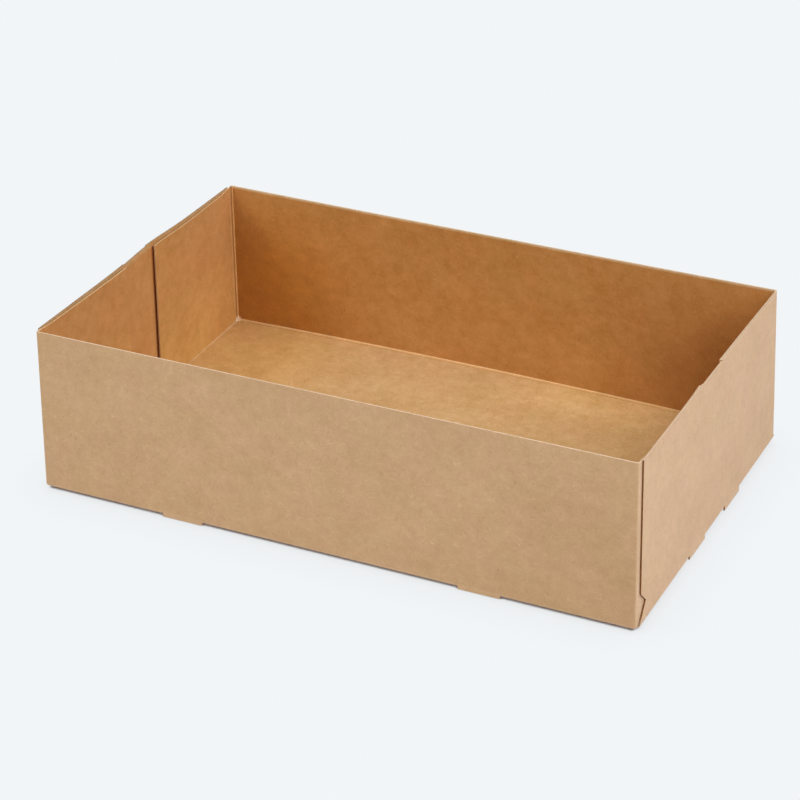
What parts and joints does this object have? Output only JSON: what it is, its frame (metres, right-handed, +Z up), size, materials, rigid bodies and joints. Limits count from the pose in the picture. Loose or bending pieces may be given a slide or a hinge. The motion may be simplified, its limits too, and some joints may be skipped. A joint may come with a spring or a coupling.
{
  "type": "paper food box",
  "caption": "Open rectangular food box folded from a sheet of kraft board, with corner flaps glued inside the end panels and small feet cut from the floor folds.",
  "frame": {"origin": "middle of the footprint, on the surface that the box stands on", "axes": "+X along the long front wall to the right, +Y from the front wall to the back wall, +Z up"},
  "size_m": [0.22, 0.138, 0.0609],
  "materials": {
    "kraft": "matt brown kraft board"
  },
  "bodies": {
    "root": {"tray": "kraft"}
  },
  "joints": []
}
